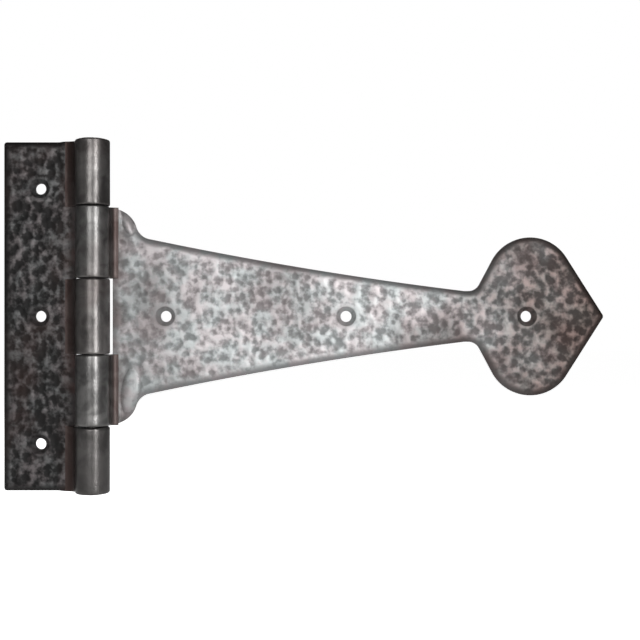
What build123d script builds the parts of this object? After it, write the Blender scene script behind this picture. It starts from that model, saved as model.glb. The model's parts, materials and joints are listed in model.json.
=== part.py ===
from build123d import *
import os
from math import acos, atan2, cos, degrees, hypot, radians, sin, tan

# A forged iron tee hinge: a narrow upright frame leaf, a long tapered strap leaf and the pin that joins
# them. All sizes are in millimetres. +Z runs up the pin, +X runs out along the strap and -Y faces the
# room. The origin is the middle screw hole of the frame leaf, on the flat back that lies on the wall.

# Plate and barrel
PLATE = 3.0  # thickness of both leaves
BARREL_R = 6.1  # outside radius of the rolled knuckles
PIN_R = 3.0
HELD_CLEARANCE = 0.02  # radial, between the pin and the frame leaf's knuckles, which hold it
RUNNING_CLEARANCE = 0.05  # radial, between the pin and the strap leaf's knuckles, which turn on it
PIN_X = 19.8  # from the frame leaf's screw holes to the pin's axis
PIN_Y = -BARREL_R  # the barrel just touches the plane of the leaves' backs

# Heights along the pin, counted from the middle of the hinge
INNER_JOINT = 13.5  # between the middle knuckle and the strap's knuckles
OUTER_JOINT = 39.2  # between the strap's knuckles and the end knuckles
HALF_HEIGHT = 62.8  # top of the frame leaf and of its end knuckles
HALF_GAP = 0.14  # half the width of a joint between two knuckles
KNUCKLE_EDGE = 0.6  # rounding of a knuckle's end edges
HEAD_R = 3.9  # peened ends of the pin
HEAD_H = 0.8

# Frame leaf
FRAME_LEFT = -13.1  # the leaf's free edge
FRAME_NOTCH = 7.1  # from the pin's axis to the edge beside the strap's knuckles
FRAME_SCREW_SPACING = 46.0
FRAME_LAP = 10.5  # from the pin's axis to the foot of the lapped end of each roll

# Strap leaf, with x counted from the pin's axis and z from the middle of the hinge
STRAP_NOTCH = 6.5  # edge beside the middle knuckle
STRAP_LAP = 8.6  # from the pin's axis to the foot of the lapped end of each roll
STRAP_SCREWS = (25.4, 90.4, 155.4)
EAR_START = (8.4, 38.5)  # the rounded ears above and below the barrel
EAR_SIDE = (12.6, 35.8)
EAR_END = (14.6, 32.0)
CUSP = (16.4, 29.4)  # the hollow where an ear runs into the taper
TAPER_START = (19.7, 27.85)
TAPER_MIDDLE = (74.0, 17.65)
NECK = (133.0, 9.15)
NECK_FILLET = 4.5
SHOULDER = 62  # lean of the spade's straight shoulder, in degrees from the middle line
LOBE = (156.8, 13.1)  # centre of one of the spade's two round lobes
LOBE_R = 15.4
TIP_X = 183.1
TIP_R = 1.35

# Screw holes, for a countersunk screw of 3.5 mm
SCREW_R = 2.0
SINK_R = 3.6
SINK_DEPTH = 1.5
BEVEL_DEPTH = 1.0  # the forged slope round the front of both leaves
BEVEL_SLOPE = 52  # degrees from the plate's own edge


def screw_hole(x, z):
    """What one countersunk screw hole cuts away, from the front of a leaf to its back."""
    through = Cylinder(SCREW_R, 4 * PLATE)
    sink = Pos(0, 0, PLATE - SINK_DEPTH / 2) * Cone(SCREW_R, SINK_R, SINK_DEPTH)
    mouth = Pos(0, 0, PLATE + 0.5) * Cylinder(SINK_R, 1.0)
    return Pos(x, 0, z) * Rot(90, 0, 0) * (through + sink + mouth)


def plate(outline):
    """A leaf's plate on the wall, with its front sloping down to the edge all round, as if forged."""
    edge = Plane.XZ.offset(PLATE - BEVEL_DEPTH)
    return extrude(Plane.XZ * outline, amount=PLATE - BEVEL_DEPTH) + extrude(
        edge * outline, amount=BEVEL_DEPTH, taper=BEVEL_SLOPE
    )


def rolled_root(reach, lap):
    """The section where a knuckle grows out of its leaf, for a leaf towards +X of the pin's axis.

    reach is where the root meets the leaf. The end of the roll is scarfed and beaten down on the leaf
    as a hollow that is tangent to the barrel and ends on the leaf's front at lap.
    """
    front = BARREL_R - PLATE
    hollow_r = (lap**2 + front**2 - BARREL_R**2) / (2 * (BARREL_R + front))
    centre = Vector(lap, front - hollow_r)
    foot = Vector(lap, front)
    on_barrel = centre * (BARREL_R / (BARREL_R + hollow_r))
    inward = ((foot - centre) + (on_barrel - centre)).normalized()
    axis = Vector(0, 0)
    back = Vector(0, BARREL_R)
    return make_face(
        [
            Line(axis, on_barrel),
            ThreePointArc(on_barrel, centre + inward * hollow_r, foot),
            Line(foot, (reach, front)),
            Line((reach, front), (reach, BARREL_R)),
            Line((reach, BARREL_R), back),
            Line(back, axis),
        ]
    )


def knuckle(side, low, high, reach, lap, clearance):
    """One knuckle, from one height to another: plate rolled right round the pin.

    side is +1 where the leaf lies towards +X of the pin and -1 where it lies towards -X.
    """
    height = high - low
    roll = Cylinder(BARREL_R, height)
    roll = fillet(roll.edges().filter_by(GeomType.CIRCLE), KNUCKLE_EDGE)
    section = rolled_root(reach, lap)
    if side < 0:
        section = mirror(section, about=Plane.YZ)
    root = extrude(section, amount=height / 2, both=True)
    bore = Cylinder(PIN_R + clearance, 2 * height)
    return Pos(PIN_X, PIN_Y, (low + high) / 2) * (roll + root - bore)


def frame_leaf():
    """The upright leaf that is screwed to the frame, with the two end knuckles and the middle one."""
    right = PIN_X - FRAME_NOTCH
    flat = Pos((FRAME_LEFT + right) / 2, 0) * Rectangle(right - FRAME_LEFT, 2 * HALF_HEIGHT)
    leaf = plate(flat)
    rows = (
        (-HALF_HEIGHT, -OUTER_JOINT - HALF_GAP),
        (HALF_GAP - INNER_JOINT, INNER_JOINT - HALF_GAP),
        (OUTER_JOINT + HALF_GAP, HALF_HEIGHT),
    )
    for low, high in rows:
        leaf += knuckle(-1, low, high, FRAME_LAP + 2, FRAME_LAP, HELD_CLEARANCE)
    for z in (-FRAME_SCREW_SPACING, 0, FRAME_SCREW_SPACING):
        leaf -= screw_hole(0, z)
    return leaf


def strap_side():
    """One side of the strap's outline, from the barrel to the tip, with x counted from the pin's axis."""
    # the straight shoulder of the spade, and the hollow where the neck runs into it
    shoulder = radians(SHOULDER)
    shoulder_top = (LOBE[0] - LOBE_R * sin(shoulder), LOBE[1] + LOBE_R * cos(shoulder))
    corner_x = shoulder_top[0] - (shoulder_top[1] - NECK[1]) / tan(shoulder)
    hollow = (corner_x - NECK_FILLET * tan(shoulder / 2), NECK[1] + NECK_FILLET)
    shoulder_foot = (hollow[0] + NECK_FILLET * sin(shoulder), hollow[1] - NECK_FILLET * cos(shoulder))
    # the straight side that touches both the lobe and the rounded tip
    to_tip = (TIP_X - TIP_R - LOBE[0], -LOBE[1])
    lean = acos((LOBE_R - TIP_R) / hypot(*to_tip)) + atan2(to_tip[1], to_tip[0])
    lobe_end = (LOBE[0] + LOBE_R * cos(lean), LOBE[1] + LOBE_R * sin(lean))
    tip_start = (TIP_X - TIP_R + TIP_R * cos(lean), TIP_R * sin(lean))
    root = (PIN_R, OUTER_JOINT - HALF_GAP)
    return [
        Line(root, EAR_START),
        ThreePointArc(EAR_START, EAR_SIDE, EAR_END),
        ThreePointArc(EAR_END, CUSP, TAPER_START),
        ThreePointArc(TAPER_START, TAPER_MIDDLE, NECK),
        Line(NECK, (hollow[0], NECK[1])),
        CenterArc(hollow, NECK_FILLET, 270, SHOULDER),
        Line(shoulder_foot, shoulder_top),
        CenterArc(LOBE, LOBE_R, 90 + SHOULDER, degrees(lean) - 90 - SHOULDER),
        Line(lobe_end, tip_start),
        CenterArc((TIP_X - TIP_R, 0), TIP_R, 0, degrees(lean)),
    ]


def strap_leaf():
    """The long leaf that is screwed to the door, with the two knuckles that turn on the pin."""
    upper = strap_side()
    lower = [mirror(edge, about=Plane.XZ) for edge in upper]
    root = Line(upper[0] @ 0, lower[0] @ 0)
    notch = Rectangle(2 * STRAP_NOTCH, 2 * (INNER_JOINT + HALF_GAP))
    leaf = plate(Pos(PIN_X, 0) * (make_face(upper + lower + [root]) - notch))
    for low in (INNER_JOINT + HALF_GAP, HALF_GAP - OUTER_JOINT):
        high = low + OUTER_JOINT - INNER_JOINT - 2 * HALF_GAP
        leaf += knuckle(1, low, high, STRAP_LAP + 0.4, STRAP_LAP, RUNNING_CLEARANCE)
    bore = Pos(PIN_X, PIN_Y, 0) * Cylinder(PIN_R + RUNNING_CLEARANCE, 3 * HALF_HEIGHT)
    leaf -= bore
    for x in STRAP_SCREWS:
        leaf -= screw_hole(PIN_X + x, 0)
    return leaf


def hinge_pin():
    """The steel rod through all five knuckles, peened over at both ends so that it can't fall out."""
    dome_r = (HEAD_R**2 + HEAD_H**2) / (2 * HEAD_H)
    cap = Pos(0, 0, HALF_HEIGHT + HEAD_H - dome_r) * Sphere(dome_r)
    above = Pos(0, 0, HALF_HEIGHT + HEAD_H) * Cylinder(2 * HEAD_R, 2 * HEAD_H)
    head = cap & above
    rod = Cylinder(PIN_R, 2 * HALF_HEIGHT)
    return Pos(PIN_X, PIN_Y, 0) * (rod + head + mirror(head, about=Plane.XY))


os.makedirs("parts", exist_ok=True)
for name, make in (("frame_leaf", frame_leaf), ("strap_leaf", strap_leaf), ("hinge_pin", hinge_pin)):
    piece = make()
    export_step(piece, f"parts/{name}.step")
    box = piece.bounding_box()
    print(name, "volume", round(piece.volume), "mm3, from", box.min, "to", box.max)
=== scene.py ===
# %% [markdown]
# A hammered iron tee hinge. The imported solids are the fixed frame, and this lesson forges the skin of
# the hinge's three pieces around them. A modeller could sculpt each leaf whole. Here the leaves are
# made as a smith makes them: a flat blank first, then the hammer, then the roll round the pin,
# because each of those steps follows a simple rule that a mesh can follow too.

# %% Load the frame
import bpy
import json
import math
import numpy as np
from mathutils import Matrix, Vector
from mathutils.geometry import delaunay_2d_cdt


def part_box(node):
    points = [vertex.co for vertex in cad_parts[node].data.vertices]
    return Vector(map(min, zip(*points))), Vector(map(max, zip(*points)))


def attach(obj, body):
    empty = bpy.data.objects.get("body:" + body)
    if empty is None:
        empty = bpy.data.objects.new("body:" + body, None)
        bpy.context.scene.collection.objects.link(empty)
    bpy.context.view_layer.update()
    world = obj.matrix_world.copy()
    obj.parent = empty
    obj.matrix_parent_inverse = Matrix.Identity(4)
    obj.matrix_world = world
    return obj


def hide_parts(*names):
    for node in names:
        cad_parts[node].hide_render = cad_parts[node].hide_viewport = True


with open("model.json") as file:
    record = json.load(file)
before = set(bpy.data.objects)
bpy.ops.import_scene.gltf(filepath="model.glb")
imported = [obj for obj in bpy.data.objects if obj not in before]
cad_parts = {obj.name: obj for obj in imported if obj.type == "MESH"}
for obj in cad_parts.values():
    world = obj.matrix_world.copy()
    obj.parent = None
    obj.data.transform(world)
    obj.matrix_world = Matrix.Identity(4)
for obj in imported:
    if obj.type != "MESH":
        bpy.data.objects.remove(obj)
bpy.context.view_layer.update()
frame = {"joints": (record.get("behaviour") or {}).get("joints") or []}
MM = 0.001

# %% [markdown]
# Everything is worked out in millimetres, with x counted from the pin's axis towards the leaf and z
# from the middle of the hinge. The pin's place comes from the joint, and the barrel's radius and the
# leaves' reach from the nodes' boxes, so the skin can't drift away from the solids.

# %% Sizes read from the frame
PIN_X, PIN_Y = (value / MM for value in frame["joints"][0]["pos_m"][:2])
FRAME_LOW, FRAME_HIGH = (np.array(corner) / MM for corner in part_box("frame_leaf"))
STRAP_HIGH = np.array(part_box("strap_leaf")[1]) / MM
PIN_LOW, PIN_HIGH = (np.array(corner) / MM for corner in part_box("hinge_pin"))
BARREL_R = FRAME_HIGH[0] - PIN_X
HALF_HEIGHT = FRAME_HIGH[2]
FRAME_REACH = PIN_X - FRAME_LOW[0]
STRAP_TIP = STRAP_HIGH[0] - PIN_X
KNUCKLE_TOP = STRAP_HIGH[2]
print("barrel radius", round(BARREL_R, 2), "tip", round(STRAP_TIP, 2))
print("frame leaf reach", round(FRAME_REACH, 2), "half height", round(HALF_HEIGHT, 2))

# %% [markdown]
# The plate and the screw holes are the same on both leaves. The front is drawn down to a soft forged
# slope all round, and each hole is countersunk for a small wood screw. Neighbouring knuckles stand
# two half gaps apart.

# %% Sizes of the plate and its holes
PLATE = 3.0
SLOPE_WIDTH = 2.9
SLOPE_DEPTH = 1.35
SCREW_R = 2.0
SINK_R = 3.6
SINK_DEPTH = 1.5
KNUCKLE_ROUND = 0.6
BACK_ROUND = 0.35
HALF_GAP = 0.14
INNER_JOINT = 13.5
FRAME_HOLES = [(PIN_X, z) for z in (-46.0, 0.0, 46.0)]
STRAP_HOLES = [(x, 0.0) for x in (25.4, 90.4, 155.4)]
print("screw holes", len(FRAME_HOLES) + len(STRAP_HOLES), "countersink", 2 * SINK_R, "mm wide")

# %% [markdown]
# A knuckle is a tab of the blank rolled right round the pin. Its end is scarfed thin and beaten down
# on the leaf in a hollow that is tangent to the barrel. The hollow's radius and the length of tab
# that it takes follow from the place of its foot, so they are worked out and never guessed.

# %% The roll's geometry
FRONT = BARREL_R - PLATE


def roll_of(foot):
    """The hollow, its angle and the lengths of tab for a roll whose foot stands this far from the pin."""
    hollow = (foot**2 + FRONT**2 - BARREL_R**2) / (2 * (BARREL_R + FRONT))
    lean = math.atan2(FRONT - hollow, foot)
    wrapped = BARREL_R * (1.5 * math.pi + lean)
    lapped = hollow * (0.5 * math.pi + lean)
    return {"foot": foot, "hollow": hollow, "lean": lean, "wrapped": wrapped, "lapped": lapped}


FRAME_ROLL = roll_of(10.5)
STRAP_ROLL = roll_of(8.6)
for name, roll in (("frame", FRAME_ROLL), ("strap", STRAP_ROLL)):
    print(name, {key: round(value, 2) for key, value in roll.items()})

# %% [markdown]
# An outline is a list of runs, each a straight line or an arc, sampled about every half millimetre.
# A run is free, where the leaf's edge shows, or it belongs to a tab, which has no front slope.

# %% Lines and arcs
STEP = 0.55


def straight(start, end):
    """Points from start towards end, leaving the end out."""
    start, end = np.array(start, float), np.array(end, float)
    count = max(1, round(np.linalg.norm(end - start) / STEP))
    return [tuple(start + (end - start) * i / count) for i in range(count)]


def arc(centre, radius, begin, finish):
    """Points of an arc between two angles in radians, leaving the last one out."""
    count = max(3, round(abs(finish - begin) * radius / STEP))
    angles = [begin + (finish - begin) * i / count for i in range(count)]
    return [(centre[0] + radius * math.cos(a), centre[1] + radius * math.sin(a)) for a in angles]


def arc_through(start, middle, end):
    """Points of the arc through three points, leaving the end out."""
    (ax, ay), (bx, by), (cx, cy) = start, middle, end
    d = 2 * (ax * (by - cy) + bx * (cy - ay) + cx * (ay - by))
    squares = [x * x + y * y for x, y in (start, middle, end)]
    ux = (squares[0] * (by - cy) + squares[1] * (cy - ay) + squares[2] * (ay - by)) / d
    uy = (squares[0] * (cx - bx) + squares[1] * (ax - cx) + squares[2] * (bx - ax)) / d
    begin, finish = math.atan2(ay - uy, ax - ux), math.atan2(cy - uy, cx - ux)
    turn = (bx - ax) * (cy - ay) - (by - ay) * (cx - ax)
    if turn > 0 and finish < begin:
        finish += math.tau
    if turn < 0 and finish > begin:
        finish -= math.tau
    return arc((ux, uy), math.hypot(ax - ux, ay - uy), begin, finish)


print("a quarter of the barrel takes", len(arc((0, 0), BARREL_R, 0, 0.5 * math.pi)), "points")

# %% [markdown]
# The strap leaf is one long hollow taper between two rounded ears and a spade. Its upper side is the
# lower side mirrored, so only the lower side is drawn: ear, cusp, taper, neck, shoulder, lobe, tip. The
# sides of the spade touch the lobe and the rounded tip, and the tangent points come from the circles.

# %% The strap leaf's outline
NOTCH = 6.5
EAR_START, EAR_SIDE, EAR_END = (8.4, -38.5), (12.6, -35.8), (14.6, -32.0)
CUSP, TAPER_START = (16.4, -29.4), (19.7, -27.85)
TAPER_MIDDLE, NECK = (74.0, -17.65), (133.0, -9.15)
NECK_FILLET = 4.5
SHOULDER = math.radians(62)
LOBE, LOBE_R = (156.8, -13.1), 15.4
TIP_R = 1.35


def strap_side():
    """The lower side of the strap, from the ear to the tip, leaving the tip's last point out."""
    shoulder_top = (LOBE[0] - LOBE_R * math.sin(SHOULDER), LOBE[1] - LOBE_R * math.cos(SHOULDER))
    corner_x = shoulder_top[0] - (NECK[1] - shoulder_top[1]) / math.tan(SHOULDER)
    hollow = (corner_x - NECK_FILLET * math.tan(SHOULDER / 2), NECK[1] - NECK_FILLET)
    turned = 0.5 * math.pi - SHOULDER
    foot = (hollow[0] + NECK_FILLET * math.cos(turned), hollow[1] + NECK_FILLET * math.sin(turned))
    tip = (STRAP_TIP - TIP_R, 0.0)
    to_tip = (tip[0] - LOBE[0], tip[1] - LOBE[1])
    lean = math.atan2(to_tip[1], to_tip[0]) - math.acos((LOBE_R - TIP_R) / math.hypot(*to_tip))
    lobe_end = (LOBE[0] + LOBE_R * math.cos(lean), LOBE[1] + LOBE_R * math.sin(lean))
    tip_start = (tip[0] + TIP_R * math.cos(lean), TIP_R * math.sin(lean))
    return (
        arc_through(EAR_START, EAR_SIDE, EAR_END)
        + arc_through(EAR_END, CUSP, TAPER_START)
        + arc_through(TAPER_START, TAPER_MIDDLE, NECK)
        + straight(NECK, (hollow[0], NECK[1]))
        + arc(hollow, NECK_FILLET, 0.5 * math.pi, turned)
        + straight(foot, shoulder_top)
        + arc(LOBE, LOBE_R, turned - math.pi, lean)
        + straight(lobe_end, tip_start)
        + arc(tip, TIP_R, lean, 0)
    )


def upper(points):
    """The same points mirrored above the middle, in the opposite order."""
    return [(x, -z) for x, z in reversed(points)]


def strap_rim():
    """The strap blank's whole rim, anticlockwise, as (kind, points) runs."""
    end = -(STRAP_ROLL["wrapped"] + STRAP_ROLL["lapped"])
    low, high = INNER_JOINT + HALF_GAP, KNUCKLE_TOP
    side = strap_side()
    return [
        ("knuckle", straight((end, -high), EAR_START)),
        ("free", side + [(STRAP_TIP, 0.0)] + upper(side)),
        ("knuckle", straight((EAR_START[0] - STEP, high), (end, high))),
        ("lap", straight((end, high), (end, low))),
        ("knuckle", straight((end, low), (NOTCH, low))),
        ("free", straight((NOTCH, low), (NOTCH, -low))),
        ("knuckle", straight((NOTCH, -low), (end, -low))),
        ("lap", straight((end, -low), (end, -high))),
    ]


print("strap rim points", sum(len(points) for _, points in strap_rim()))

# %% [markdown]
# The frame leaf is a plain upright rectangle with three tabs. Its x runs from the pin towards the
# leaf's free edge, so it is drawn like the strap and turned round when it is built.

# %% The frame leaf's outline
FRAME_NOTCH = 7.1
CORNER_R = 1.0


def frame_rim():
    """The frame leaf blank's whole rim, anticlockwise, as (kind, points) runs."""
    end = -(FRAME_ROLL["wrapped"] + FRAME_ROLL["lapped"])
    top, edge, root = HALF_HEIGHT, FRAME_REACH, FRAME_ROLL["foot"]
    outer, inner = KNUCKLE_TOP + 2 * HALF_GAP, INNER_JOINT - HALF_GAP
    corner = (edge - CORNER_R, top - CORNER_R)
    leaf = (
        straight((root, -top), (corner[0], -top))
        + arc((corner[0], -corner[1]), CORNER_R, -0.5 * math.pi, 0)
        + straight((edge, -corner[1]), (edge, corner[1]))
        + arc(corner, CORNER_R, 0, 0.5 * math.pi)
        + straight((corner[0], top), (root, top))
    )
    rim = [("knuckle", straight((end, -top), (root, -top))), ("free", leaf)]
    rim.append(("knuckle", straight((root, top), (end, top))))
    for high, low in ((top, outer), (inner, -inner), (-outer, -top)):
        rim.append(("lap", straight((end, high), (end, low))))
        if low > -top:
            lower = inner if low > 0 else -outer
            rim.append(("knuckle", straight((end, low), (FRAME_NOTCH, low))))
            rim.append(("free", straight((FRAME_NOTCH, low), (FRAME_NOTCH, lower))))
            rim.append(("knuckle", straight((FRAME_NOTCH, lower), (end, lower))))
    return rim


print("frame rim points", sum(len(points) for _, points in frame_rim()))

# %% [markdown]
# A blank's faces are triangles between the rim, rings round the screw holes and a fine lattice. The
# lattice could be a plain grid, but staggered rows with a little seeded jitter leave no lines in the
# hammered surface. A constrained triangulation keeps every edge of the rim and of the holes.

# %% Fill a plan with triangles
RING_SIDES = 44
rng = np.random.default_rng(7)


def smooth_step(low, high, value):
    """0 below low, 1 above high, and a smooth ramp between."""
    t = np.clip((value - low) / (high - low), 0, 1)
    return t * t * (3 - 2 * t)


def distance_to(points, segments):
    """Distance from each point to the nearest of the segments."""
    a, b = segments[:, 0], segments[:, 1]
    along = b - a
    length = np.maximum((along**2).sum(1), 1e-12)
    best = np.full(len(points), 1e9)
    for first in range(0, len(points), 2000):
        p = points[first : first + 2000, None, :] - a[None]
        t = np.clip((p * along[None]).sum(2) / length, 0, 1)
        best[first : first + 2000] = np.sqrt(((p - t[..., None] * along) ** 2).sum(2)).min(1)
    return best


def inside(points, loop):
    """Which points lie inside a closed loop."""
    result = np.zeros(len(points), bool)
    for (x0, z0), (x1, z1) in zip(loop, np.roll(loop, -1, 0)):
        if z0 == z1:
            continue
        crosses = (z0 > points[:, 1]) != (z1 > points[:, 1])
        result ^= crosses & (points[:, 0] < (x1 - x0) * (points[:, 1] - z0) / (z1 - z0) + x0)
    return result


def lattice(loop, pitch):
    """Staggered, slightly jittered points over the loop's box."""
    low, high = loop.min(0), loop.max(0)
    rows = np.arange(low[1], high[1], pitch * 0.87)
    columns = np.arange(low[0], high[0], pitch)
    x, z = np.meshgrid(columns, rows)
    x = x + 0.5 * pitch * (np.arange(len(rows)) % 2)[:, None]
    grid = np.column_stack([x.ravel(), z.ravel()])
    return grid + rng.uniform(-0.12, 0.12, grid.shape) * pitch


def fill_plan(loop, holes, rings, fine, coarse, fine_where):
    """Triangles inside the loop and outside the holes: their points and their corners.

    The first points are the loop's and then each hole's first ring, in order.
    """
    circle = np.linspace(0, math.tau, RING_SIDES, endpoint=False)
    unit = np.column_stack([np.cos(circle), np.sin(circle)])
    mouths = [np.array(hole) + rings[0] * unit for hole in holes]
    edges = [(i, (i + 1) % len(loop)) for i in range(len(loop))]
    points = [loop]
    start = len(loop)
    for mouth in mouths:
        edges += [(start + i, start + (i + 1) % RING_SIDES) for i in range(RING_SIDES)]
        points.append(mouth)
        start += RING_SIDES
    points += [np.array(hole) + r * unit for hole in holes for r in rings[1:]]
    rim = np.stack([loop, np.roll(loop, -1, 0)], 1)
    for pitch, wanted in ((fine, True), (coarse, False)):
        grid = lattice(loop, pitch)
        grid = grid[fine_where(grid[:, 0]) == wanted]
        grid = grid[inside(grid, loop)]
        for hole in holes:
            grid = grid[np.hypot(*(grid - hole).T) > rings[-1] + 0.6 * fine]
        points.append(grid[distance_to(grid, rim) > 0.55 * min(pitch, STEP)])
    flat = np.concatenate(points)
    found = delaunay_2d_cdt([Vector(p) for p in flat.tolist()], edges, [], 1, 1e-6)
    place = {i: sources[0] for i, sources in enumerate(found[3])}
    corners = np.array([[place[i] for i in face] for face in found[2]])
    centre = flat[corners].mean(1)
    keep = np.ones(len(corners), bool)
    for hole in holes:
        keep &= np.hypot(*(centre - hole).T) > rings[0]
    return flat, corners[keep]


print("sides of a screw hole", RING_SIDES)

# %% [markdown]
# The front of a blank falls away in a curved slope towards its free edges, with a cone at each screw
# hole. Beside the strap's knuckles the smith left two smooth raised petals with a groove round each.
# Two numbers travel with every point and tell the next steps what to do: how hard the hammer strikes
# there, and how worn the iron looks. The second also paints light: it is low in the countersinks and
# in the petals' grooves, which is painted shade, and high on the petals, which is a painted highlight.
# Both fade towards the free edges and around the screw holes.

# %% Shape the front
PETAL_HEIGHT = 0.45
PETAL_GROOVE = 0.3
PETALS = [(12.7, -26.6, 3.0, 8.0, 0.12), (11.9, 33.4, 1.9, 3.6, -0.2)]


def front_lift(points, free, holes, fade, petals):
    """Height of the front above the back, how much the hammer strikes, and the worn share with painted
    shade and highlight.
    """
    near = distance_to(points, free)
    slope = SLOPE_DEPTH * np.clip(1 - near / SLOPE_WIDTH, 0, 1) ** 1.8
    lift = PLATE - slope * smooth_step(fade[0], fade[1], points[:, 0])
    struck = smooth_step(0.9, 3.6, near)
    wear_and_painted_light = smooth_step(0.3, 3.2, near)
    for hole in holes:
        r = np.hypot(*(points - hole).T)
        cone = PLATE - SINK_DEPTH * (SINK_R - r) / (SINK_R - SCREW_R)
        lift = np.minimum(lift, np.maximum(cone, PLATE - SINK_DEPTH))
        struck = struck * smooth_step(SINK_R + 0.2, SINK_R + 1.8, r)
        # painted shade: the worn share is halved in the countersinks, so they look darker as shade would
        # make them
        wear_and_painted_light = wear_and_painted_light * (0.5 + 0.5 * smooth_step(SINK_R - 0.4, SINK_R + 1.2, r))
    for x, z, half_width, half_height, lean in petals:
        along_x = (points[:, 0] - x - lean * (points[:, 1] - z)) / half_width
        r = np.hypot(along_x, (points[:, 1] - z) / half_height)
        groove = PETAL_GROOVE * np.exp(-(((r - 1.08) / 0.16) ** 2))
        lift += PETAL_HEIGHT * (1 - smooth_step(0.0, 1.0, r)) - groove
        struck = struck * smooth_step(0.85, 1.3, r)
        # painted highlight on each petal, brightest at its middle, and painted shade in the groove round it
        wear_and_painted_light = np.where(r < 1, 1.15 - 0.35 * r, wear_and_painted_light * smooth_step(1.0, 1.35, r))
    return lift, struck, wear_and_painted_light


print("petals", len(PETALS), "of", PETAL_HEIGHT, "mm")

# %% [markdown]
# The blank is a closed shell. Its front and back could be joined by a straight wall, but real plate
# has no knife edges, so a few rings between them round the back edge off, round the rim and in every
# screw hole. The triangles are finer where the surface is hammered in front and rolled at the back.

# %% Build a closed blank
BACK_RINGS = (0.0, 0.3, 0.62, 1.0)
LAP_ROUND = 0.05
HOLE_ROUND = 0.15
HOLE_RINGS = [SCREW_R, 2.35, 2.7, 3.05, 3.4, SINK_R, 3.85, 4.3]
BACK_HOLE_RINGS = [SCREW_R + HOLE_ROUND, 2.9]
FRONT_PITCHES = (0.5, 1.0)
BACK_PITCHES = (0.6, 1.6)
UNTOUCHED = 0.35


def inward_normals(loop):
    """Unit vectors that point into a loop that runs anticlockwise."""
    ahead, behind = np.roll(loop, -1, 0) - loop, loop - np.roll(loop, 1, 0)
    ahead /= np.linalg.norm(ahead, axis=1)[:, None]
    behind /= np.linalg.norm(behind, axis=1)[:, None]
    normal = np.column_stack([-(ahead + behind)[:, 1], (ahead + behind)[:, 0]])
    return normal / np.linalg.norm(normal, axis=1)[:, None]


def build_blank(name, side, rim, holes, fade, petals=()):
    """The leaf before it is hammered and rolled, as a closed mesh object.

    side is +1 for a leaf towards +X of the pin and -1 for one towards -X.
    """
    loop = np.array([p for _, points in rim for p in points])
    kinds = np.concatenate([[kind] * len(points) for kind, points in rim])
    free_edge = kinds == "free"
    free = np.stack([loop, np.roll(loop, -1, 0)], 1)[free_edge]
    holes = [np.array(h) for h in holes]
    front, front_faces = fill_plan(loop, holes, HOLE_RINGS, *FRONT_PITCHES, lambda x: x > -0.5)
    lift, struck, wear_and_painted_light = front_lift(front, free, holes, fade, petals)
    struck = struck * smooth_step(fade[0] - 0.6, fade[1] - 0.6, front[:, 0])
    roundness = np.where(free_edge, BACK_ROUND, KNUCKLE_ROUND)
    roundness = np.where(kinds == "lap", LAP_ROUND, roundness)
    back_loop = loop + inward_normals(loop) * roundness[:, None]
    back, back_faces = fill_plan(
        back_loop, holes, BACK_HOLE_RINGS, *BACK_PITCHES, lambda x: x < 1.0
    )
    print(name, "front", len(front_faces), "back", len(back_faces), "triangles")

    points, lifts = [front], [lift]
    total = len(front)
    loops = [(0, len(loop), loop, inward_normals(loop), roundness)]
    for i, hole in enumerate(holes):
        first = len(loop) + i * RING_SIDES
        mouth = front[first : first + RING_SIDES]
        outward = (mouth - hole) / SCREW_R
        loops.append((first, RING_SIDES, mouth, outward, np.full(RING_SIDES, HOLE_ROUND)))
    back_start = total + sum(n for _, n, *_ in loops) * (len(BACK_RINGS) - 1)
    walls = []
    for first, n, line, into, rounding in loops:
        previous = np.arange(first, first + n)
        for share in BACK_RINGS:
            turn = 0.5 * math.pi * share
            if share == 1.0:
                current = np.arange(back_start + first, back_start + first + n)
            else:
                current = np.arange(total, total + n)
                points.append(line + into * (rounding * (1 - math.cos(turn)))[:, None])
                lifts.append(rounding * (1 - math.sin(turn)))
                total += n
            after, before = np.roll(previous, -1), np.roll(current, -1)
            quads = np.column_stack([previous, current, before, after])
            walls.append(quads if first == 0 else quads[:, ::-1])
            previous = current
    points.append(back)
    lifts.append(np.zeros(len(back)))
    points, lifts = np.concatenate(points), np.concatenate(lifts)
    place = np.column_stack([PIN_X + side * points[:, 0], -lifts, points[:, 1]]) * MM
    polygons = [tuple(f) for f in front_faces.tolist()]
    polygons += [tuple(reversed(f)) for f in (back_faces + back_start).tolist()]
    polygons += [tuple(q) for wall in walls for q in wall.tolist()]
    if side < 0:
        polygons = [tuple(reversed(p)) for p in polygons]
    mesh = bpy.data.meshes.new(name)
    mesh.from_pydata(place.tolist(), [], polygons)
    for label, front_values, elsewhere in (("struck", struck, 0.0), ("wear_and_painted_light", wear_and_painted_light, UNTOUCHED)):
        values = np.full(len(points), elsewhere, np.float32)
        values[: len(front)] = front_values
        mesh.attributes.new(label, "FLOAT", "POINT").data.foreach_set("value", values)
    blank = bpy.data.objects.new(name, mesh)
    bpy.context.scene.collection.objects.link(blank)
    return blank


FRAME_FADE = (FRAME_ROLL["foot"] + 0.2, FRAME_ROLL["foot"] + 3.0)
STRAP_FADE = (STRAP_ROLL["foot"] + 0.2, STRAP_ROLL["foot"] + 2.0)
frame_blank = build_blank("frame_leaf_forged", -1, frame_rim(), FRAME_HOLES, FRAME_FADE)
strap_blank = build_blank("strap_leaf_forged", 1, strap_rim(), STRAP_HOLES, STRAP_FADE, PETALS)

# %% [markdown]
# Hammering and rolling are Geometry Nodes, one tree each, because both are rules about position. The
# trees are wired with small helpers: one adds a node and fills its sockets, one does arithmetic, one
# eases a value, so that a formula reads nearly like the formula on paper.

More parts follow.
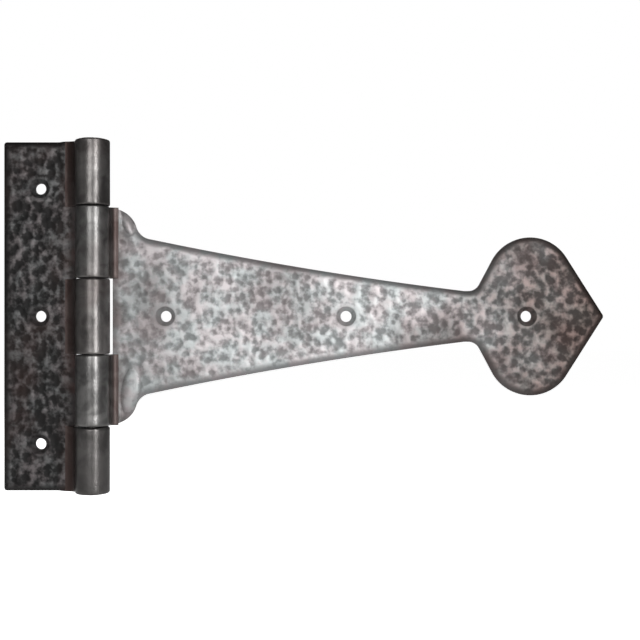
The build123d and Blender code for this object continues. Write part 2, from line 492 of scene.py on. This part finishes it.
# %% Helpers for node trees
def put(tree, kind, values=None, **settings):
    """Adds a node, applies its settings and fills its sockets with numbers or links."""
    node = tree.nodes.new(kind)
    for key, value in settings.items():
        setattr(node, key, value)
    for key, value in (values or {}).items():
        if isinstance(value, bpy.types.NodeSocket):
            tree.links.new(value, node.inputs[key])
        else:
            node.inputs[key].default_value = value
    return node


def maths(tree, operation, *values, clamp=False):
    """One arithmetic node, as its result socket."""
    filled = dict(enumerate(values))
    return put(tree, "ShaderNodeMath", filled, operation=operation, use_clamp=clamp).outputs[0]


def ramped(tree, value, low, high, to_low=0.0, to_high=1.0):
    """A value eased from one range to another."""
    sockets = {0: value, 1: low, 2: high, 3: to_low, 4: to_high}
    node = put(tree, "ShaderNodeMapRange", sockets, interpolation_type="SMOOTHSTEP")
    return node.outputs[0]


def new_tree(name, floats):
    """A geometry tree with a mesh in and out and named inputs for its sizes."""
    tree = bpy.data.node_groups.new(name, "GeometryNodeTree")
    tree.interface.new_socket("Geometry", in_out="INPUT", socket_type="NodeSocketGeometry")
    for label in floats:
        tree.interface.new_socket(label, in_out="INPUT", socket_type="NodeSocketFloat")
    tree.interface.new_socket("Finish", in_out="INPUT", socket_type="NodeSocketMaterial")
    tree.interface.new_socket("Geometry", in_out="OUTPUT", socket_type="NodeSocketGeometry")
    return tree, put(tree, "NodeGroupInput").outputs


def seeded_noise(tree, place, scale, detail, seed):
    """Noise over a blank that changes with the seed, as the node's outputs."""
    values = {"Vector": place, "Scale": scale, "Detail": detail, "W": seed}
    return put(tree, "ShaderNodeTexNoise", values, noise_dimensions="4D").outputs


def remember(tree, geometry, label, value):
    """Stores a number on every point, for the finish to read."""
    values = {"Geometry": geometry, "Name": label, "Value": value}
    kind = "GeometryNodeStoreNamedAttribute"
    return put(tree, kind, values, data_type="FLOAT", domain="POINT").outputs[0]


def finish_tree(tree, geometry, finish):
    """Ends a tree in Realize Instances and Set Material."""
    real = put(tree, "GeometryNodeRealizeInstances", {"Geometry": geometry}).outputs[0]
    coated = put(tree, "GeometryNodeSetMaterial", {"Geometry": real, "Material": finish}).outputs[0]
    put(tree, "NodeGroupOutput", {"Geometry": coated})


def work(piece, tree, **inputs):
    """Adds a tree to a piece as a modifier and sets its inputs by their sockets' identifiers."""
    modifier = piece.modifiers.new(tree.name, "NODES")
    modifier.node_group = tree
    sockets = {s.name: s.identifier for s in tree.interface.items_tree if s.in_out == "INPUT"}
    for label, value in inputs.items():
        modifier[sockets[label.replace("_", " ")]] = value


print("node trees for Blender", bpy.app.version_string)

# %% [markdown]
# A ball-faced hammer leaves a shallow bowl at each blow, and where bowls meet, a thin ridge is left
# standing. A Voronoi pattern is exactly that: its distance field is zero under each blow and highest
# between blows. The bowl's floor is lowered along Y, which is the plate's thickness. The tree keeps
# the height of the ridge as a number on each point, because wear and wax follow it later.

# %% Hammer marks
BLOW_REACH = 0.62
BLOW_SPREAD = 4.5 * MM


def hammer_tree():
    """Geometry Nodes that dent the front of a blank and store how high each point stands."""
    floats = ["Blow Width", "Blow Height", "Depth", "Unevenness", "Seed"]
    tree, given = new_tree("hammer_marks", floats)
    place = put(tree, "GeometryNodeInputPosition").outputs[0]
    drift = seeded_noise(tree, place, 110.0, 2.0, given["Seed"])["Color"]
    centred = put(
        tree, "ShaderNodeVectorMath", {0: drift, 1: (0.5, 0.5, 0.5)}, operation="SUBTRACT"
    )
    shifted = put(
        tree,
        "ShaderNodeVectorMath",
        {0: centred.outputs[0], 1: (BLOW_SPREAD, 0.0, BLOW_SPREAD), 2: place},
        operation="MULTIPLY_ADD",
    ).outputs[0]
    x, _, z = put(tree, "ShaderNodeSeparateXYZ", {0: shifted}).outputs
    across = maths(tree, "ADD", maths(tree, "DIVIDE", x, given["Blow Width"]), given["Seed"])
    along = maths(tree, "DIVIDE", z, given["Blow Height"])
    plane = put(tree, "ShaderNodeCombineXYZ", {0: across, 1: along}).outputs[0]
    blows = put(
        tree,
        "ShaderNodeTexVoronoi",
        {"Vector": plane, "Scale": 1.0, "Smoothness": 0.35, "Randomness": 0.92},
        voronoi_dimensions="2D",
        feature="SMOOTH_F1",
    ).outputs["Distance"]
    ridge = maths(tree, "MAXIMUM", maths(tree, "DIVIDE", blows, BLOW_REACH), 0.0)
    ridge = maths(tree, "MINIMUM", maths(tree, "POWER", ridge, 1.6), 1.0)
    patches = seeded_noise(tree, place, 70.0, 1.0, given["Seed"])[0]
    force = ramped(tree, patches, 0.32, 0.62, 0.7, 1.1)
    kind = "GeometryNodeInputNamedAttribute"
    struck = put(tree, kind, {"Name": "struck"}, data_type="FLOAT").outputs[0]
    weight = maths(tree, "MULTIPLY", struck, force)
    bowl = maths(tree, "MULTIPLY", maths(tree, "SUBTRACT", 1.0, ridge), weight)
    swell = maths(tree, "MULTIPLY", maths(tree, "SUBTRACT", patches, 0.5), given["Unevenness"])
    sunk = maths(tree, "MULTIPLY_ADD", bowl, given["Depth"], maths(tree, "MULTIPLY", swell, struck))
    offset = put(tree, "ShaderNodeCombineXYZ", {1: sunk}).outputs[0]
    dented = put(
        tree, "GeometryNodeSetPosition", {"Geometry": given["Geometry"], "Offset": offset}
    ).outputs[0]
    height = maths(tree, "SUBTRACT", 1.0, bowl, clamp=True)
    finish_tree(tree, remember(tree, dented, "ridge", height), given["Finish"])
    return tree


hammer = hammer_tree()
print(hammer.name, len(hammer.nodes), "nodes")

# %% [markdown]
# The roll reads how far a point lies past the pin's axis and wraps it round by that length divided by
# the barrel's radius. The plate's smooth back becomes the outside of the barrel, and its hammered
# front turns inwards to the pin. Past the last of the barrel the tab leaves it in the lapped hollow.

# %% Roll the tabs round the pin
BEND_START = 4.0 * MM
LAP_BITE = 0.28 * MM
SOLE_AIR = 0.03 * MM


def roll_tree():
    """Geometry Nodes that bend everything past the pin's axis into knuckles with lapped ends."""
    floats = ["Pin X", "Pin Y", "Side", "Barrel Radius", "Plate", "Hollow", "Foot", "Lean", "Wrapped"]
    tree, given = new_tree("rolled_knuckles", floats + ["Lapped", "Waver", "Seed"])
    place = put(tree, "GeometryNodeInputPosition").outputs[0]
    x, y, z = put(tree, "ShaderNodeSeparateXYZ", {0: place}).outputs
    out = maths(tree, "MULTIPLY", maths(tree, "SUBTRACT", x, given["Pin X"]), given["Side"])
    past = maths(tree, "MAXIMUM", maths(tree, "MULTIPLY", out, -1.0), 0.0)
    lift = maths(tree, "MULTIPLY", y, -1.0)
    waves = seeded_noise(tree, place, 95.0, 2.0, given["Seed"])[0]
    waver = maths(tree, "MULTIPLY", maths(tree, "SUBTRACT", waves, 0.62), given["Waver"])
    waver = maths(tree, "MULTIPLY", waver, ramped(tree, past, 0.0, BEND_START))
    waver = maths(tree, "MULTIPLY", waver, ramped(tree, lift, 0.0016, 0.0006))
    # the barrel: turn by length over radius
    turn = maths(tree, "DIVIDE", maths(tree, "MINIMUM", past, given["Wrapped"]), given["Barrel Radius"])
    radius = maths(tree, "ADD", maths(tree, "SUBTRACT", given["Barrel Radius"], lift), waver)
    round_x = maths(tree, "MULTIPLY", maths(tree, "MULTIPLY", radius, -1.0), maths(tree, "SINE", turn))
    round_y = maths(tree, "MULTIPLY", radius, maths(tree, "COSINE", turn))
    # the lapped end: its outside follows the hollow, its inside lies on the leaf's front
    share = maths(tree, "DIVIDE", maths(tree, "SUBTRACT", past, given["Wrapped"]), given["Lapped"])
    share = maths(tree, "MINIMUM", maths(tree, "MAXIMUM", share, 0.0), 1.0)
    front = maths(tree, "SUBTRACT", given["Barrel Radius"], given["Plate"])
    swing = maths(tree, "ADD", given["Lean"], 0.5 * math.pi)
    angle = maths(tree, "MULTIPLY", maths(tree, "SUBTRACT", 1.0, share), swing)
    angle = maths(tree, "ADD", angle, 0.5 * math.pi)
    lap_x = maths(tree, "MULTIPLY_ADD", maths(tree, "COSINE", angle), given["Hollow"], given["Foot"])
    centre_y = maths(tree, "SUBTRACT", front, given["Hollow"])
    lap_y = maths(tree, "MULTIPLY_ADD", maths(tree, "SINE", angle), given["Hollow"], centre_y)
    lap_y = maths(tree, "SUBTRACT", lap_y, maths(tree, "MULTIPLY", share, LAP_BITE))
    inner_start_x = maths(tree, "MULTIPLY", front, maths(tree, "COSINE", given["Lean"]))
    inner_start_y = maths(tree, "MULTIPLY", front, maths(tree, "SINE", given["Lean"]))
    sole = maths(tree, "SUBTRACT", front, SOLE_AIR)
    ease = ramped(tree, share, 0.0, 0.45)
    reach_x = maths(tree, "SUBTRACT", given["Foot"], inner_start_x)
    reach_y = maths(tree, "SUBTRACT", sole, inner_start_y)
    inner_x = maths(tree, "MULTIPLY_ADD", reach_x, share, inner_start_x)
    inner_y = maths(tree, "MULTIPLY_ADD", reach_y, ease, inner_start_y)
    depth = maths(tree, "DIVIDE", lift, given["Plate"])
    lap_x = maths(tree, "MULTIPLY_ADD", maths(tree, "SUBTRACT", inner_x, lap_x), depth, lap_x)
    lap_y = maths(tree, "MULTIPLY_ADD", maths(tree, "SUBTRACT", inner_y, lap_y), depth, lap_y)
    lapped = maths(tree, "GREATER_THAN", past, given["Wrapped"])
    bent_x = maths(tree, "MULTIPLY_ADD", maths(tree, "SUBTRACT", lap_x, round_x), lapped, round_x)
    bent_y = maths(tree, "MULTIPLY_ADD", maths(tree, "SUBTRACT", lap_y, round_y), lapped, round_y)
    world_x = maths(tree, "MULTIPLY_ADD", bent_x, given["Side"], given["Pin X"])
    world_y = maths(tree, "ADD", bent_y, given["Pin Y"])
    rolled = put(tree, "ShaderNodeCombineXYZ", {0: world_x, 1: world_y, 2: z}).outputs[0]
    is_tab = maths(tree, "GREATER_THAN", past, 0.0)
    smooth = ramped(tree, past, 0.0, BEND_START)
    lap = ramped(tree, share, 0.0, 0.6)
    shape = remember(tree, given["Geometry"], "barrel", smooth)
    shape = remember(tree, shape, "lap", lap)
    values = {"Geometry": shape, "Selection": is_tab, "Position": rolled}
    bent = put(tree, "GeometryNodeSetPosition", values).outputs[0]
    finish_tree(tree, bent, given["Finish"])
    return tree


roller = roll_tree()
print(roller.name, len(roller.nodes), "nodes")

# %% [markdown]
# Finishes are wired like the shapes, with a few more helpers: one reads a number that a tree stored on
# the mesh, one mixes two colours, and one gives noise over the piece.

# %% Helpers for finishes
def attribute(tree, name):
    """A number stored on the mesh, as a shader socket."""
    return put(tree, "ShaderNodeAttribute", attribute_type="GEOMETRY", attribute_name=name).outputs["Fac"]


def blend(tree, share, first, second):
    """Mixes two colours, each a socket or a plain (r, g, b)."""
    colours = [c if isinstance(c, bpy.types.NodeSocket) else (*c, 1.0) for c in (first, second)]
    node = put(tree, "ShaderNodeMix", {0: share, 6: colours[0], 7: colours[1]}, data_type="RGBA")
    return node.outputs[2]


def noise(tree, where, scale, detail=3.0, distortion=0.0):
    """Noise over the piece, as a number."""
    values = {"Vector": where, "Scale": scale, "Detail": detail, "Distortion": distortion}
    return put(tree, "ShaderNodeTexNoise", values).outputs[0]


def new_finish(name):
    """An empty material with a principled shader, its tree and the piece's own coordinates."""
    finish = bpy.data.materials.new(name)
    finish.use_nodes = True
    tree = finish.node_tree
    tree.nodes.clear()
    shader = put(tree, "ShaderNodeBsdfPrincipled")
    tree.links.new(shader.outputs[0], put(tree, "ShaderNodeOutputMaterial").inputs[0])
    return finish, tree, shader, put(tree, "ShaderNodeTexCoord").outputs["Object"]


print("materials so far", len(bpy.data.materials))

# %% [markdown]
# The iron is a worn, waxed finish. It could be painted, but it follows the blows: the ridge number
# picks between bare iron and dark patina, and fine speckle and scuffs break their border up. A leaf
# may have one pair of colours near the pin and another far from it, and its worn share fades towards
# the pin as painted shade for the light's falloff there. The barrel is smooth and darker, most of all
# on the lowest knuckle. A rust brown beside the barrel and in the laps is partly rust and partly
# painted shade where the leaf meets the barrel.

# %% Forged iron
RUST = (0.048, 0.024, 0.02)
COOL_TINT, WARM_TINT = (0.95, 1.0, 0.985), (1.055, 0.98, 0.975)
STREAK_DARKNESS = 0.42
LOWEST_KNUCKLE = (-56 * MM, -36 * MM)
# reach and strength of a rust brown beside the barrel and in the laps, partly rust and partly painted shade
# where leaf and barrel meet
RUST_AND_SHADE_REACH = (14.5 * MM, 8.5 * MM)
LAP_RUST_AND_SHADE = 0.75
BARREL_ROUGHNESS = 0.33
GRIT_HEIGHT = 0.12 * MM


def forged_iron(name, near_iron, far_iron, barrel_iron, light_falloff_zone, far_zone, rust_amount):
    """Hammered iron: dark patina in the bowls, worn ridges, a smooth barrel, and rust that is partly
    painted shade.

    near_iron and far_iron are (hollow, worn) colours, and far_zone is where one turns into the other.
    The zone given before far_zone is where the worn share rises from 0.55 near the pin to full, painted
    shade for the light's falloff towards the pin. Both zones run along x, in metres.
    """
    finish, tree, shader, where = new_finish(name)
    x, _, z = put(tree, "ShaderNodeSeparateXYZ", {0: where}).outputs
    cloudy = maths(tree, "SUBTRACT", noise(tree, where, 75.0, 4.0), 0.5)
    speckled = maths(tree, "SUBTRACT", noise(tree, where, 520.0, 4.0), 0.5)
    scuffed = maths(tree, "SUBTRACT", noise(tree, where, 260.0, 2.0), 0.5)
    wear = maths(tree, "MULTIPLY_ADD", attribute(tree, "ridge"), 0.8, 0.1)
    wear = maths(tree, "MULTIPLY_ADD", speckled, 2.3, wear)
    wear = maths(tree, "MULTIPLY_ADD", scuffed, 1.1, wear)
    wear = maths(tree, "MULTIPLY_ADD", cloudy, 0.6, wear)
    # painted shade: the worn share is held to 0.55 near the pin, standing in for the light's falloff there
    worn_share_with_falloff = maths(tree, "MULTIPLY", attribute(tree, "wear_and_painted_light"), ramped(tree, x, *light_falloff_zone, 0.55, 1.0))
    near_worn = maths(tree, "MULTIPLY", ramped(tree, wear, -0.1, 1.1), worn_share_with_falloff)
    far_worn = maths(tree, "MULTIPLY", ramped(tree, wear, 0.2, 1.5), worn_share_with_falloff)
    near_leaf = blend(tree, near_worn, *near_iron)
    far_leaf = blend(tree, far_worn, *far_iron)
    drift = maths(tree, "MULTIPLY_ADD", cloudy, 0.05, x)
    leaf = blend(tree, ramped(tree, drift, *far_zone), near_leaf, far_leaf)
    warmth = ramped(tree, noise(tree, where, 150.0, 3.0), 0.36, 0.64)
    values = {0: 1.0, 6: leaf, 7: blend(tree, warmth, COOL_TINT, WARM_TINT)}
    leaf = put(tree, "ShaderNodeMix", values, data_type="RGBA", blend_type="MULTIPLY").outputs[2]
    smooth = attribute(tree, "barrel")
    streaks = ramped(tree, noise(tree, where, 150.0, 4.0, 0.6), 0.3, 0.7)
    streaks = maths(tree, "MULTIPLY", streaks, ramped(tree, z, *LOWEST_KNUCKLE, 0.35, 1.0))
    rolled = blend(tree, streaks, [c * STREAK_DARKNESS for c in barrel_iron], barrel_iron)
    iron = blend(tree, smooth, leaf, rolled)
    stain = ramped(tree, noise(tree, where, 38.0, 5.0, 0.4), 0.48, 0.7)
    # partly painted shade: the rust brown in the laps and beside the barrel also stands in for the shade
    # where the leaf meets the barrel
    lap_rust_and_shade = maths(tree, "MULTIPLY", attribute(tree, "lap"), LAP_RUST_AND_SHADE)
    from_pin = maths(tree, "ABSOLUTE", maths(tree, "SUBTRACT", x, PIN_X * MM))
    off_barrel = maths(tree, "SUBTRACT", 1.0, smooth)
    rust_and_shade_by_barrel = maths(tree, "MULTIPLY", ramped(tree, from_pin, *RUST_AND_SHADE_REACH), off_barrel)
    blotches = ramped(tree, noise(tree, where, 120.0, 4.0), 0.4, 0.62, 0.1, 0.6)
    rust_and_shade_by_barrel = maths(tree, "MAXIMUM", maths(tree, "MULTIPLY", rust_and_shade_by_barrel, blotches), lap_rust_and_shade)
    rust_and_shade = maths(tree, "MAXIMUM", maths(tree, "MULTIPLY", stain, rust_amount), rust_and_shade_by_barrel)
    tree.links.new(blend(tree, rust_and_shade, iron, RUST), shader.inputs["Base Color"])
    tree.links.new(ramped(tree, smooth, 0.0, 1.0, 0.55, 0.85), shader.inputs["Metallic"])
    rough_leaf = ramped(tree, wear, 0.2, 1.0, 0.62, 0.46)
    smoother = maths(tree, "SUBTRACT", BARREL_ROUGHNESS, rough_leaf)
    rough = maths(tree, "MULTIPLY_ADD", smoother, smooth, rough_leaf)
    rough = maths(tree, "MULTIPLY_ADD", rust_and_shade, 0.12, rough)
    tree.links.new(rough, shader.inputs["Roughness"])
    grit = noise(tree, where, 900.0, 3.0)
    pits = put(tree, "ShaderNodeTexVoronoi", {"Vector": where, "Scale": 700.0}).outputs["Distance"]
    grain = maths(tree, "MULTIPLY_ADD", ramped(tree, pits, 0.0, 0.35), 0.4, grit)
    values = {"Height": grain, "Strength": 0.5, "Distance": GRIT_HEIGHT}
    tree.links.new(put(tree, "ShaderNodeBump", values).outputs[0], shader.inputs["Normal"])
    return finish


print("rust seeps", RUST_AND_SHADE_REACH[0] / MM, "mm from the pin's axis")

# %% [markdown]
# The two leaves get the finish in two strengths. The frame leaf is painted dark all over, with dull ridges:
# painted shade, the same iron darkened as if the leaf were turned away from the light.
# The strap's worn iron is a pale pewter grey near the pin and turns to a dark brown in the spade.

# %% Two strengths of iron
# painted shade: the frame leaf's pair of colours is the iron darkened for a leaf turned away from the light
SHADED_FRAME_IRON = ((0.009, 0.0084, 0.0084), (0.13, 0.125, 0.127))
PEWTER = ((0.24, 0.239, 0.243), (0.52, 0.522, 0.53))
BROWN = ((0.027, 0.019, 0.0165), (0.15, 0.112, 0.101))
frame_iron_painted_dark = forged_iron(
    "frame_iron_painted_shade",
    near_iron=SHADED_FRAME_IRON,
    far_iron=SHADED_FRAME_IRON,
    barrel_iron=(0.2, 0.19, 0.185),
    light_falloff_zone=(-0.04, -0.02),
    far_zone=(-0.3, -0.2),
    rust_amount=0.4,
)
worn_iron = forged_iron(
    "worn_pewter_iron",
    near_iron=PEWTER,
    far_iron=BROWN,
    barrel_iron=(0.24, 0.235, 0.23),
    # painted shade: over this x range the worn share fades towards the pin, for the light's falloff there
    light_falloff_zone=(0.03, 0.065),
    far_zone=(0.105, 0.2),
    rust_amount=0.35,
)
print("finishes", frame_iron_painted_dark.name, worn_iron.name)

# %% [markdown]
# Each leaf is hammered with its own blows: rounder on the strap, taller and narrower on the frame
# leaf. Then the roll closes the knuckles, and the evaluated result becomes a plain mesh whose edges
# sharper than the forged ones are kept crisp.

# %% Forge the leaves
SHARP = math.radians(38)
UNEVENNESS = 0.5
WAVER = 0.16
FRAME_BLOWS = {"blow_width": 3.0, "blow_height": 4.8, "depth": 0.45, "seed": 3.0}
STRAP_BLOWS = {"blow_width": 3.0, "blow_height": 3.5, "depth": 0.34, "seed": 8.0}


def forged(piece):
    """Turns a piece with live trees into a plain mesh and takes the modifiers off."""
    bpy.context.view_layer.update()
    evaluated = piece.evaluated_get(bpy.context.evaluated_depsgraph_get())
    mesh = bpy.data.meshes.new_from_object(evaluated)
    mesh.name = piece.name
    piece.modifiers.clear()
    piece.data = mesh
    mesh.shade_smooth()
    mesh.set_sharp_from_angle(angle=SHARP)
    triangles = sum(len(p.vertices) - 2 for p in mesh.polygons)
    print(piece.name, triangles, "triangles", [round(v / MM, 1) for v in piece.dimensions])
    return piece


def forge_leaf(blank, side, roll, finish, blow_width, blow_height, depth, seed):
    """Hammers and rolls a blank."""
    marks = {"Blow_Width": blow_width, "Blow_Height": blow_height, "Depth": depth}
    marks = {key: value * MM for key, value in marks.items()}
    work(blank, hammer, Unevenness=UNEVENNESS * MM, Seed=seed, Finish=finish, **marks)
    sizes = {"Hollow": roll["hollow"], "Foot": roll["foot"], "Wrapped": roll["wrapped"]}
    sizes |= {"Lapped": roll["lapped"], "Pin_X": PIN_X, "Pin_Y": PIN_Y, "Barrel_Radius": BARREL_R}
    sizes = {key: value * MM for key, value in (sizes | {"Plate": PLATE, "Waver": WAVER}).items()}
    work(blank, roller, Side=side, Lean=roll["lean"], Seed=seed, Finish=finish, **sizes)
    return forged(blank)


frame_leaf = forge_leaf(frame_blank, -1.0, FRAME_ROLL, frame_iron_painted_dark, **FRAME_BLOWS)
strap_leaf = forge_leaf(strap_blank, 1.0, STRAP_ROLL, worn_iron, **STRAP_BLOWS)

# %% [markdown]
# The pin is a plain rod whose ends were hammered over cold. A revolved profile gives the rod and its
# two low heads, and the heads' domes get small flats from the last blows.

# %% The hinge pin
PIN_R = 3.0
HEAD_R = (PIN_HIGH[0] - PIN_LOW[0]) / 2
HEAD_H = PIN_HIGH[2] - HALF_HEIGHT
PIN_SIDES = 56


def pin_profile():
    """The pin's outline from the middle of its lower head to the middle of its upper head."""
    end = [(0.0, HEAD_H), (0.9, 0.97 * HEAD_H), (1.8, 0.88 * HEAD_H), (2.6, 0.7 * HEAD_H)]
    end += [(3.2, 0.5 * HEAD_H), (3.6, 0.3 * HEAD_H), (HEAD_R, 0.08 * HEAD_H)]
    end += [(HEAD_R - 0.15, 0.02), (PIN_R, 0.01)]
    top = [(r, HALF_HEIGHT + h) for r, h in end]
    return [(r, -z) for r, z in top] + [(PIN_R, 0.0)] + list(reversed(top))


def build_pin(name):
    """Revolves the profile round the pin's axis, with one point at each pole."""
    profile = pin_profile()
    points = [(PIN_X, PIN_Y, profile[0][1])]
    for r, z in profile[1:-1]:
        for k in range(PIN_SIDES):
            a = math.tau * k / PIN_SIDES
            flat = 0.05 * math.sin(2.3 * a + 1.1 * r) * (abs(z) > HALF_HEIGHT + 0.1) * HEAD_H
            beaten = z - math.copysign(abs(flat), z)
            points.append((PIN_X + r * math.cos(a), PIN_Y + r * math.sin(a), beaten))
    points.append((PIN_X, PIN_Y, profile[-1][1]))
    rings = len(profile) - 2
    faces = []
    for k in range(PIN_SIDES):
        after = (k + 1) % PIN_SIDES
        faces.append((0, 1 + after, 1 + k))
        for ring in range(rings - 1):
            low, high = 1 + ring * PIN_SIDES, 1 + (ring + 1) * PIN_SIDES
            faces.append((low + k, low + after, high + after, high + k))
        last = 1 + (rings - 1) * PIN_SIDES
        faces.append((last + k, last + after, len(points) - 1))
    mesh = bpy.data.meshes.new(name)
    mesh.from_pydata([tuple(c * MM for c in p) for p in points], [], faces)
    mesh.shade_smooth()
    mesh.set_sharp_from_angle(angle=SHARP)
    pin = bpy.data.objects.new(name, mesh)
    bpy.context.scene.collection.objects.link(pin)
    return pin


hinge_pin = build_pin("hinge_pin_peened")
print("pin", len(hinge_pin.data.polygons), "faces")

# %% [markdown]
# The pin is steel, not iron, and oil keeps it cleaner: a dark grey with small dings and no rust. Only
# its two heads ever show.

# %% Oiled steel
oiled_steel, steel_tree, steel, steel_where = new_finish("oiled_pin_steel")
steel_cloud = ramped(steel_tree, noise(steel_tree, steel_where, 300.0, 3.0), 0.35, 0.65)
steel_colour = blend(steel_tree, steel_cloud, (0.05, 0.045, 0.042), (0.16, 0.15, 0.145))
steel_tree.links.new(steel_colour, steel.inputs["Base Color"])
steel_tree.links.new(ramped(steel_tree, steel_cloud, 0.0, 1.0, 0.5, 0.35), steel.inputs["Roughness"])
steel.inputs["Metallic"].default_value = 0.9
dings = {"Height": noise(steel_tree, steel_where, 500.0, 3.0), "Strength": 0.4, "Distance": 0.0002}
steel_tree.links.new(put(steel_tree, "ShaderNodeBump", dings).outputs[0], steel.inputs["Normal"])
hinge_pin.data.materials.append(oiled_steel)
print("finish", oiled_steel.name)

# %% [markdown]
# Every piece rides on its body and stands for its solid, which is hidden. The table also gives each piece's
# slot in the record, which the loop doesn't use.

# %% Put the pieces on their bodies
for piece, body, node, slot in (
    (frame_leaf, "frame", "frame_leaf", "frame_leaf_iron"),
    (strap_leaf, "strap", "strap_leaf", "strap_leaf_iron"),
    (hinge_pin, "frame", "hinge_pin", "pin_steel"),
):
    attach(piece, body)
    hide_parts(node)
    print(piece.name, "rides on", body)

# %% [markdown]
# The studio starts with a pale floor well below the hinge. It glows where the camera sees it, so that
# it stays white, but only faintly towards the iron.

# %% The pale floor
FLOOR_BELOW = 45.0
FLOOR_HALF = 3.0

floor_mesh = bpy.data.meshes.new("pale_floor")
floor_z = (-HALF_HEIGHT - FLOOR_BELOW) * MM
floor_corners = [(x * FLOOR_HALF, y * FLOOR_HALF, floor_z) for x, y in ((-1, -1), (1, -1), (1, 1), (-1, 1))]
floor_mesh.from_pydata(floor_corners, [], [(0, 1, 2, 3)])
pale_floor = bpy.data.objects.new("pale_floor", floor_mesh)
bpy.context.scene.collection.objects.link(pale_floor)
floor_paint, floor_tree, floor_shader, _ = new_finish("pale_floor_paint")
floor_shader.inputs["Base Color"].default_value = (0.93, 0.93, 0.93, 1)
floor_shader.inputs["Roughness"].default_value = 0.9
floor_shader.inputs["Emission Color"].default_value = (1, 1, 1, 1)
floor_seen = put(floor_tree, "ShaderNodeLightPath").outputs["Is Camera Ray"]
floor_glow = maths(floor_tree, "MULTIPLY_ADD", floor_seen, 0.85, 0.05)
floor_tree.links.new(floor_glow, floor_shader.inputs["Emission Strength"])
floor_mesh.materials.append(floor_paint)
print("floor at", round(floor_z / MM, 1), "mm")

# %% [markdown]
# Hammered iron needs light from the front to glint on its ridges. A tall narrow key stands to the
# right of the lens and a softer glow just left of it. A weak fill comes from the far left, and a
# broad one from behind keeps the side that lies on the wall clear when the hinge is seen from there.

# %% Lamps
def place_lamp(name, where, target, width, height, power):
    """A rectangular soft lamp at a place, aimed at a point, in millimetres and watts."""
    lamp = bpy.data.lights.new(name, "AREA")
    lamp.shape = "RECTANGLE"
    lamp.size = width * MM
    lamp.size_y = height * MM
    lamp.energy = power
    stand = bpy.data.objects.new(name, lamp)
    stand.location = Vector(where) * MM
    stand.rotation_euler = (Vector(target) - Vector(where)).to_track_quat("-Z", "Y").to_euler()
    bpy.context.scene.collection.objects.link(stand)


place_lamp("soft_key", (300, -420, 40), (50, 0, 0), 80, 460, 1.65)
place_lamp("front_glow", (-20, -520, 120), (50, 0, 0), 200, 300, 0.85)
place_lamp("left_fill", (-600, -300, 150), (20, 0, 0), 300, 400, 0.05)
place_lamp("wall_side_fill", (-150, 500, 420), (60, 0, 0), 500, 300, 2.5)
print("lamps", len(bpy.data.lights))

# %% [markdown]
# The sky is white to the camera too. Everywhere else it is a tenth as bright, because full white from
# all sides would wash the dark hollows out.

# %% White sky
sky = bpy.data.worlds.new("white_sky")
sky.use_nodes = True
sky_tree = sky.node_tree
sky_tree.nodes.clear()
seen = put(sky_tree, "ShaderNodeLightPath").outputs["Is Camera Ray"]
strength = maths(sky_tree, "MULTIPLY_ADD", seen, 0.9, 0.1)
background = put(sky_tree, "ShaderNodeBackground", {"Color": (1, 1, 1, 1), "Strength": strength})
sky_tree.links.new(background.outputs[0], put(sky_tree, "ShaderNodeOutputWorld").inputs[0])
bpy.context.scene.world = sky
bpy.context.scene.view_settings.view_transform = "Standard"
print("sky", sky.name)

# %% [markdown]
# The camera looks straight at the plate from the front, level, with a lens long enough to keep both
# leaves nearly undistorted.

# %% Camera
VIEW_X, VIEW_Z = 100.8, -1.3
VIEW_DISTANCE = 350.0
VIEW_WIDTH = 230.0
SENSOR = 36.0

camera_data = bpy.data.cameras.new("front_camera")
camera_data.sensor_width = SENSOR
camera_data.lens = SENSOR * VIEW_DISTANCE / VIEW_WIDTH
camera_data.clip_start = 0.01
camera = bpy.data.objects.new("front_camera", camera_data)
camera.location = (VIEW_X * MM, -(VIEW_DISTANCE + PLATE) * MM, VIEW_Z * MM)
camera.rotation_euler = (0.5 * math.pi, 0, 0)
bpy.context.scene.collection.objects.link(camera)
bpy.context.scene.camera = camera
print("camera at", [round(c / MM) for c in camera.location], "lens", round(camera_data.lens, 1))
